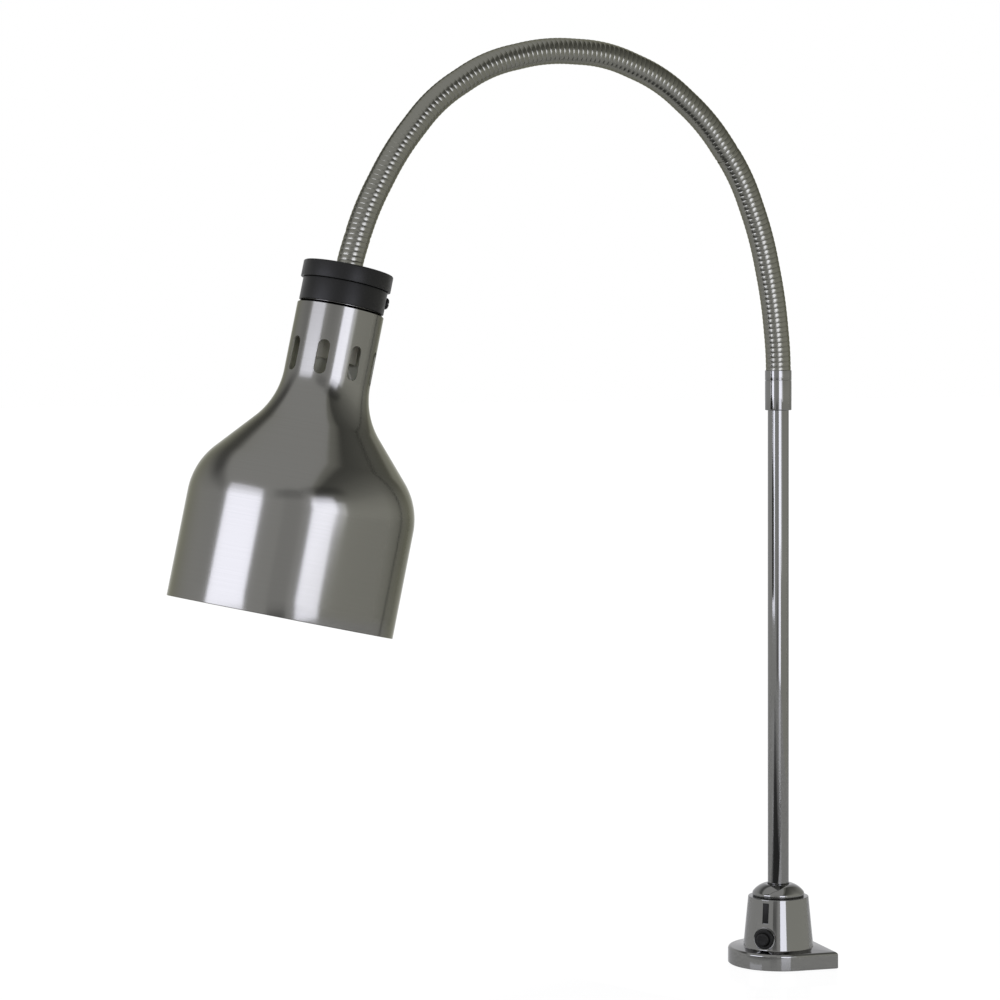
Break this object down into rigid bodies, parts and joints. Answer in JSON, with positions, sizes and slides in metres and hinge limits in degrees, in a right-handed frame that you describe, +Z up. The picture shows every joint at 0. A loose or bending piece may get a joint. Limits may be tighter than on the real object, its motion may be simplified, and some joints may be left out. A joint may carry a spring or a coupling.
{
  "type": "portable heat lamp",
  "caption": "Heat lamp: a spun metal bell shade with a reflector bulb hangs from a flexible steel gooseneck on a chromed post, over a small D-shaped base with a push switch.",
  "frame": {"origin": "middle of the base's underside, on the post's axis", "axes": "+Z up along the post; the arm lies in the XZ plane at rest and the head hangs toward -X; the base is turned 9.5 degrees clockwise from above, its flat end toward +X"},
  "size_m": [0.5591, 0.172, 0.741],
  "materials": {
    "chrome_plate": "bright chrome plate on cast and drawn metal",
    "hose_steel": "satin flexible steel hose, ribbed",
    "spun_aluminium": "satin-polished spun aluminium",
    "zinc_steel": "zinc-plated steel",
    "brass": "bare brass",
    "black_plastic": "satin black moulding",
    "black_rubber": "matt black rubber",
    "porcelain": "white glazed porcelain",
    "frosted_glass": "inside-frosted glass",
    "tungsten": "drawn wire",
    "lead_cover": "braided high-temperature sleeve"
  },
  "bodies": {
    "base": {"base_casting": "chrome_plate", "base_cover_plate": "zinc_steel", "cover_screw_1": "zinc_steel", "cover_screw_2": "zinc_steel", "cover_screw_3": "zinc_steel", "earth_screw": "brass", "switch_body": "black_plastic", "switch_nut": "zinc_steel", "legend_plate": "black_plastic", "cord_bushing": "black_rubber", "post_collar": "chrome_plate", "collar_set_screw": "zinc_steel"},
    "switch_button": {"switch_button": "black_plastic"},
    "post": {"post_tube": "chrome_plate", "post_lock_nut": "zinc_steel", "post_coupling": "chrome_plate", "hose_ferrule": "chrome_plate", "hose_nipple_lower": "zinc_steel", "hose_link_00": "hose_steel"},
    "hose_01": {"hose_link_01": "hose_steel"},
    "hose_02": {"hose_link_02": "hose_steel"},
    "hose_03": {"hose_link_03": "hose_steel"},
    "hose_04": {"hose_link_04": "hose_steel"},
    "hose_05": {"hose_link_05": "hose_steel"},
    "hose_06": {"hose_link_06": "hose_steel"},
    "hose_07": {"hose_link_07": "hose_steel"},
    "hose_08": {"hose_link_08": "hose_steel"},
    "hose_09": {"hose_link_09": "hose_steel"},
    "hose_10": {"hose_link_10": "hose_steel"},
    "hose_11": {"hose_link_11": "hose_steel"},
    "head": {"hose_link_12": "hose_steel", "cap_lid": "black_plastic", "cap_collar": "black_plastic", "hose_nipple_upper": "zinc_steel", "cap_lock_nut": "zinc_steel", "shade_bell": "spun_aluminium", "shade_neck": "spun_aluminium", "shade_screw": "black_plastic", "socket_bracket": "zinc_steel", "socket_body": "porcelain", "socket_shell": "brass", "socket_tab": "brass", "socket_screw_1": "zinc_steel", "lamp_lead_1": "lead_cover", "socket_screw_2": "zinc_steel", "lamp_lead_2": "lead_cover", "bulb_glass": "frosted_glass", "bulb_screw_cap": "brass", "bulb_contact": "brass", "bulb_stem": "frosted_glass", "bulb_filament": "tungsten"}
  },
  "joints": [
    {"name": "post_swivel", "type": "hinge", "parent": "base", "child": "post", "pos_m": [0, 0, 0.0567], "axis": [0, 0, 1], "range_deg": [-165, 165]},
    {"name": "switch_press", "type": "slide", "parent": "base", "child": "switch_button", "axis": [0.8141, 0.5807, 0], "range_m": [0, 0.0022], "stiffness_N_per_m": 900, "springref_m": -0.0008},
    {"name": "hose_bend_01", "type": "hinge", "parent": "post", "child": "hose_01", "pos_m": [-0.00136, 0, 0.50789], "axis": [0, 1, 0], "range_deg": [-4, 15]},
    {"name": "hose_sway_02", "type": "hinge", "parent": "hose_01", "child": "hose_02", "pos_m": [-0.00907, 0, 0.55915], "axis": [0.9763, 0, 0.2164], "range_deg": [-12, 12]},
    {"name": "hose_bend_03", "type": "hinge", "parent": "hose_02", "child": "hose_03", "pos_m": [-0.02339, 0, 0.60894], "axis": [0, 1, 0], "range_deg": [-4, 15]},
    {"name": "hose_bend_04", "type": "hinge", "parent": "hose_03", "child": "hose_04", "pos_m": [-0.04734, 0, 0.65473], "axis": [0, 1, 0], "range_deg": [-4, 15]},
    {"name": "hose_sway_05", "type": "hinge", "parent": "hose_04", "child": "hose_05", "pos_m": [-0.0824, 0, 0.69271], "axis": [0.6225, 0, 0.7826], "range_deg": [-12, 12]},
    {"name": "hose_bend_06", "type": "hinge", "parent": "hose_05", "child": "hose_06", "pos_m": [-0.12652, 0, 0.71945], "axis": [0, 1, 0], "range_deg": [-4, 15]},
    {"name": "hose_bend_07", "type": "hinge", "parent": "hose_06", "child": "hose_07", "pos_m": [-0.17686, 0, 0.73062], "axis": [0, 1, 0], "range_deg": [-4, 15]},
    {"name": "hose_sway_08", "type": "hinge", "parent": "hose_07", "child": "hose_08", "pos_m": [-0.22836, 0, 0.7262], "axis": [-0.2419, 0, 0.9703], "range_deg": [-12, 12]},
    {"name": "hose_bend_09", "type": "hinge", "parent": "hose_08", "child": "hose_09", "pos_m": [-0.27642, 0, 0.70748], "axis": [0, 1, 0], "range_deg": [-4, 15]},
    {"name": "hose_bend_10", "type": "hinge", "parent": "hose_09", "child": "hose_10", "pos_m": [-0.31619, 0, 0.67459], "axis": [0, 1, 0], "range_deg": [-4, 15]},
    {"name": "hose_sway_11", "type": "hinge", "parent": "hose_10", "child": "hose_11", "pos_m": [-0.34616, 0, 0.63237], "axis": [-0.8746, 0, 0.4848], "range_deg": [-12, 12]},
    {"name": "hose_bend_12", "type": "hinge", "parent": "hose_11", "child": "head", "pos_m": [-0.36793, 0, 0.58538], "axis": [0, 1, 0], "range_deg": [-4, 15]}
  ],
  "couplings": [
    {"joint": "hose_bend_03", "follows": "hose_bend_01", "ratio": 1},
    {"joint": "hose_bend_04", "follows": "hose_bend_01", "ratio": 1},
    {"joint": "hose_bend_06", "follows": "hose_bend_01", "ratio": 1},
    {"joint": "hose_bend_09", "follows": "hose_bend_07", "ratio": 1},
    {"joint": "hose_bend_10", "follows": "hose_bend_07", "ratio": 1},
    {"joint": "hose_bend_12", "follows": "hose_bend_07", "ratio": 1},
    {"joint": "hose_sway_05", "follows": "hose_sway_02", "ratio": 1},
    {"joint": "hose_sway_08", "follows": "hose_sway_02", "ratio": 1},
    {"joint": "hose_sway_11", "follows": "hose_sway_02", "ratio": 1}
  ]
}
